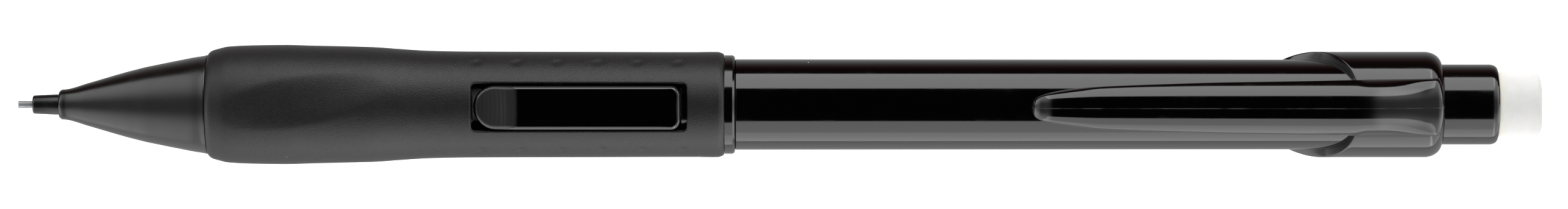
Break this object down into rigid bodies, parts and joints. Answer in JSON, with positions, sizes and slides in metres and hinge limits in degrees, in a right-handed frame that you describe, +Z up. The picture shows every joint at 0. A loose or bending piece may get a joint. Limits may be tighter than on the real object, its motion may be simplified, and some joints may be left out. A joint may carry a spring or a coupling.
{
  "type": "mechanical pencil",
  "caption": "Side-advance mechanical pencil with a sliding point, soft shaped grip, one-piece cap and clip, and a twist-up eraser.",
  "frame": {"origin": "on the desk plane under mid-length, below the pencil's axis: the centre of the bottom of its bounding box", "axes": "+X along the pencil from the lead towards the eraser, +Z up through the push button and the clip, +Y across"},
  "size_m": [0.15, 0.0118, 0.0129],
  "materials": {
    "graphite": "drawn polymer lead, dull grey sheen",
    "black_gloss_sleeve": "black, moulded, semi-gloss",
    "retainer_rubber": "soft black rubber",
    "nose_black": "black, moulded, satin gloss",
    "core_black": "black, moulded, gloss",
    "grip_rubber": "matte black elastomer with a fine grain",
    "barrel_black": "black, moulded, high gloss",
    "cap_black": "black, moulded, high gloss",
    "button_black": "black, moulded, high gloss",
    "slide_white": "natural white acetal",
    "tube_grey": "natural translucent-looking extruded plastic",
    "chuck_brass": "turned brass",
    "ring_steel": "turned steel",
    "housing_black": "black, moulded, plain",
    "spring_steel": "drawn spring wire",
    "knob_black": "black, moulded, gloss",
    "retainer_white": "natural white acetal",
    "guide_grey": "dark grey, moulded",
    "ring_rubber": "black rubber",
    "carrier_white": "natural white acetal",
    "eraser_white": "white vinyl eraser, matte, faintly mottled"
  },
  "bodies": {
    "barrel": {"nose_cone": "nose_black", "front_barrel": "core_black", "grip_sleeve": "grip_rubber", "rear_barrel": "barrel_black", "clip_cap": "cap_black", "chuck_housing": "housing_black", "lead_retainer": "retainer_rubber", "return_spring": "spring_steel"},
    "point": {"lead_sleeve": "black_gloss_sleeve"},
    "lead": {"lead": "graphite"},
    "button": {"side_button": "button_black"},
    "feed": {"slide_cam": "slide_white", "lead_tube": "tube_grey", "chuck": "chuck_brass", "spare_leads": "graphite"},
    "clutch": {"clutch_ring": "ring_steel"},
    "eraser_unit": {"spiral_guide": "guide_grey", "guide_ring": "ring_rubber"},
    "knob": {"twist_knob": "knob_black", "knob_retainer": "retainer_white"},
    "eraser_slide": {"eraser_carrier": "carrier_white", "eraser": "eraser_white"}
  },
  "joints": [
    {"name": "button_press", "type": "slide", "parent": "barrel", "child": "button", "axis": [0, 0, -1], "range_m": [0, 0.0013], "stiffness_N_per_m": 300, "springref_m": -0.003},
    {"name": "feed_slide", "type": "slide", "parent": "barrel", "child": "feed", "axis": [-1, 0, 0], "range_m": [0, 0.0013], "deforming": ["return_spring"]},
    {"name": "clutch_slide", "type": "slide", "parent": "barrel", "child": "clutch", "axis": [-1, 0, 0], "range_m": [0, 0.0006]},
    {"name": "lead_slide", "type": "slide", "parent": "barrel", "child": "lead", "axis": [-1, 0, 0], "range_m": [-0.0015, 0.01]},
    {"name": "point_slide", "type": "slide", "parent": "barrel", "child": "point", "axis": [1, 0, 0], "range_m": [0, 0.0023]},
    {"name": "eraser_unit_pull", "type": "slide", "parent": "barrel", "child": "eraser_unit", "axis": [1, 0, 0], "range_m": [0, 0.024]},
    {"name": "eraser_twist", "type": "hinge", "parent": "eraser_unit", "child": "knob", "pos_m": [0.06525, 0, 0.00567], "axis": [1, 0, 0], "range_deg": [-252.01, 396.01]},
    {"name": "eraser_feed", "type": "slide", "parent": "knob", "child": "eraser_slide", "axis": [1, 0, 0], "range_m": [-0.0035, 0.0055]}
  ],
  "couplings": [
    {"joint": "feed_slide", "follows": "button_press", "ratio": 1},
    {"joint": "clutch_slide", "follows": "button_press", "ratio": 0.46154},
    {"joint": "eraser_twist", "follows": "eraser_feed", "rad_per_m": 1256.6}
  ]
}
